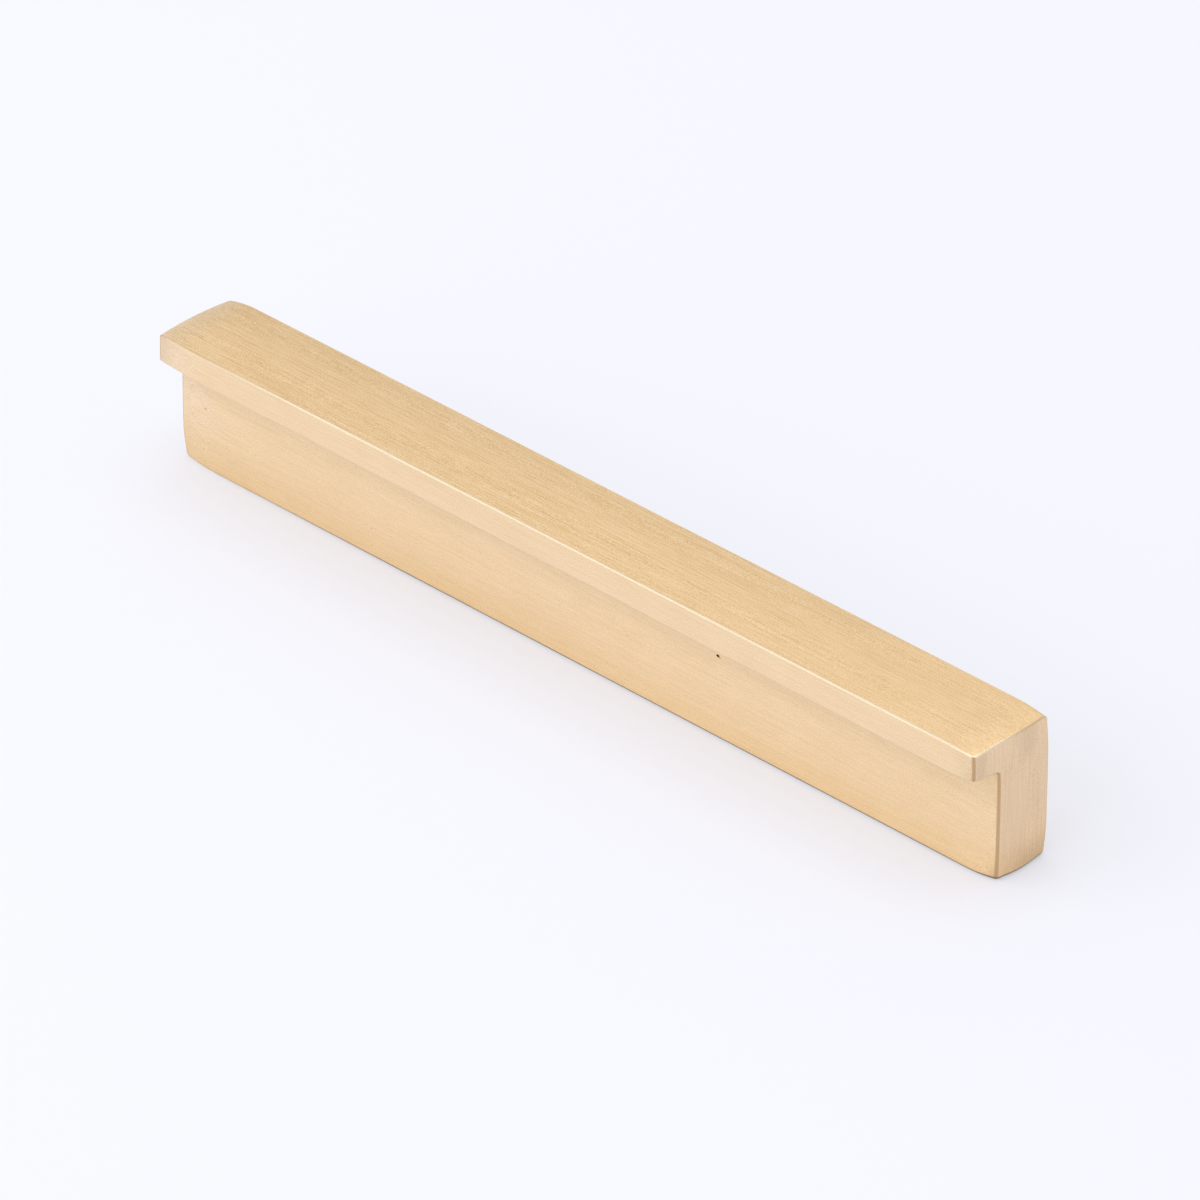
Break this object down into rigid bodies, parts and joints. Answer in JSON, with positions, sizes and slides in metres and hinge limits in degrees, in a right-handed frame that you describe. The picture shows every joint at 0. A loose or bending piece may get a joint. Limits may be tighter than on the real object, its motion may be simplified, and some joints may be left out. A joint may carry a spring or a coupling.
{
  "type": "door pull handle",
  "caption": "Solid bar door pull with an L-shaped section: a finger lip runs along its outer edge, and it is screwed on from behind through its flat foot.",
  "frame": {"origin": "on the mounting face, half way between the tapped holes, on the middle line of the stem", "axes": "+X along the bar, +Z away from the door, and the finger lip overhangs towards -Y"},
  "size_m": [0.16, 0.0157, 0.024],
  "materials": {
    "brushed_brass": "brushed satin, fine lines along the bar and up the ends"
  },
  "bodies": {
    "root": {"handle_bar": "brushed_brass"}
  },
  "joints": []
}
